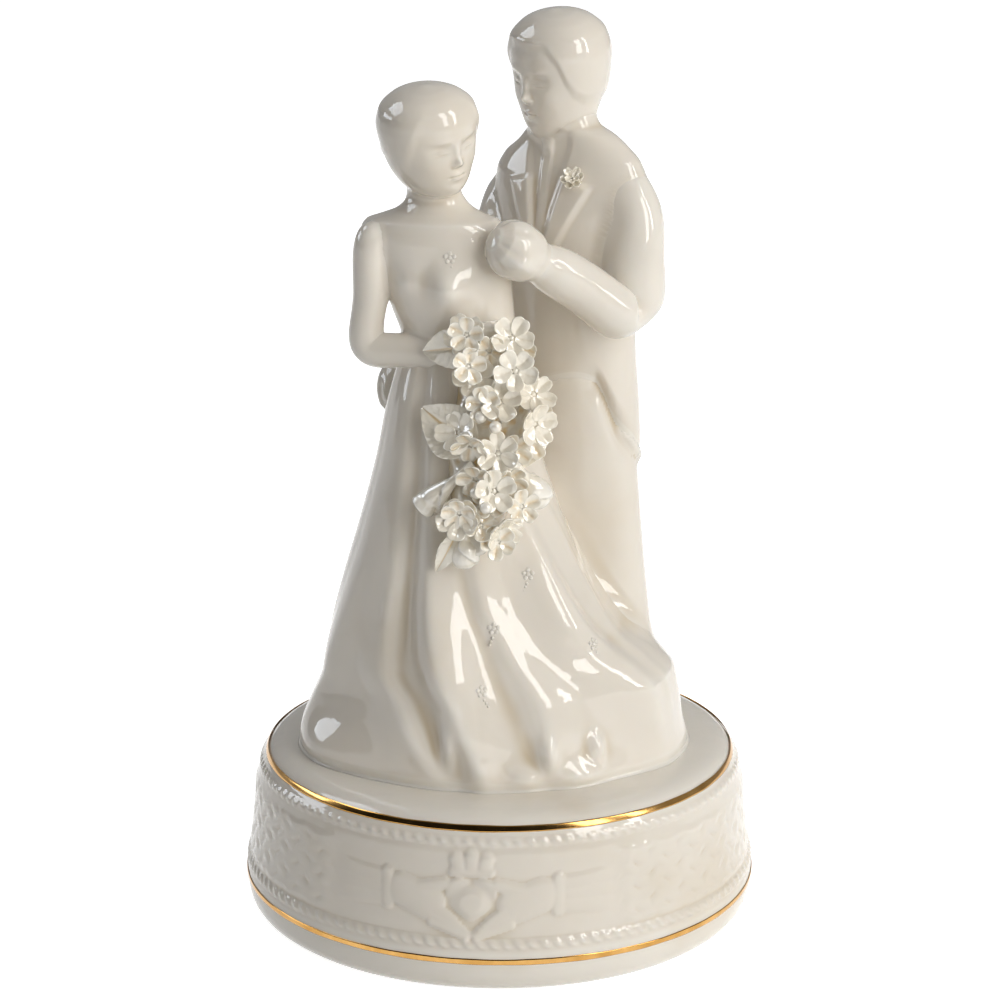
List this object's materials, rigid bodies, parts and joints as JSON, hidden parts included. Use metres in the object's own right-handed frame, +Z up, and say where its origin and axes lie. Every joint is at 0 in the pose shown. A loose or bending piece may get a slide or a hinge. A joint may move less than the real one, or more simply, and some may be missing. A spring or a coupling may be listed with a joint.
{
  "type": "wedding cake topper",
  "caption": "Glazed porcelain bride and groom standing on a round relief drum with gold lines, the bride holding a bouquet of hand-made flowers; rests on top of a cake.",
  "frame": {"origin": "centre of the drum's foot, on the surface that the topper stands on", "axes": "+Z up, -Y toward the front that the couple shows, +X toward the groom's side"},
  "size_m": [0.1156, 0.1156, 0.2014],
  "materials": {
    "porcelain": "glossy ivory glaze, a little warmer where it pools",
    "pearl_lustre": "ivory glaze under a mother-of-pearl lustre",
    "gold": "burnished fired gold line"
  },
  "bodies": {
    "root": {"base_drum": "porcelain", "bouquet_core": "pearl_lustre", "boutonniere": "pearl_lustre", "bride_bodice": "porcelain", "bride_head": "porcelain", "bride_left_arm": "porcelain", "bride_right_arm": "porcelain", "bride_skirt": "porcelain", "bud_01": "pearl_lustre", "bud_02": "pearl_lustre", "bud_03": "pearl_lustre", "clasped_hands": "porcelain", "flower_01": "pearl_lustre", "flower_02": "pearl_lustre", "flower_03": "pearl_lustre", "flower_04": "pearl_lustre", "flower_05": "pearl_lustre", "flower_06": "pearl_lustre", "flower_07": "pearl_lustre", "flower_08": "pearl_lustre", "flower_09": "pearl_lustre", "flower_10": "pearl_lustre", "flower_11": "pearl_lustre", "flower_12": "pearl_lustre", "groom_coat": "porcelain", "groom_head": "porcelain", "groom_left_arm": "porcelain", "groom_right_arm": "porcelain", "groom_right_hand": "porcelain", "groom_trousers": "porcelain", "leaf_01": "pearl_lustre", "leaf_02": "pearl_lustre", "leaf_03": "pearl_lustre", "leaf_04": "pearl_lustre", "lower_gold_line": "gold", "pearl_01": "pearl_lustre", "pearl_02": "pearl_lustre", "pearl_03": "pearl_lustre", "pearl_04": "pearl_lustre", "upper_gold_line": "gold"}
  },
  "joints": []
}
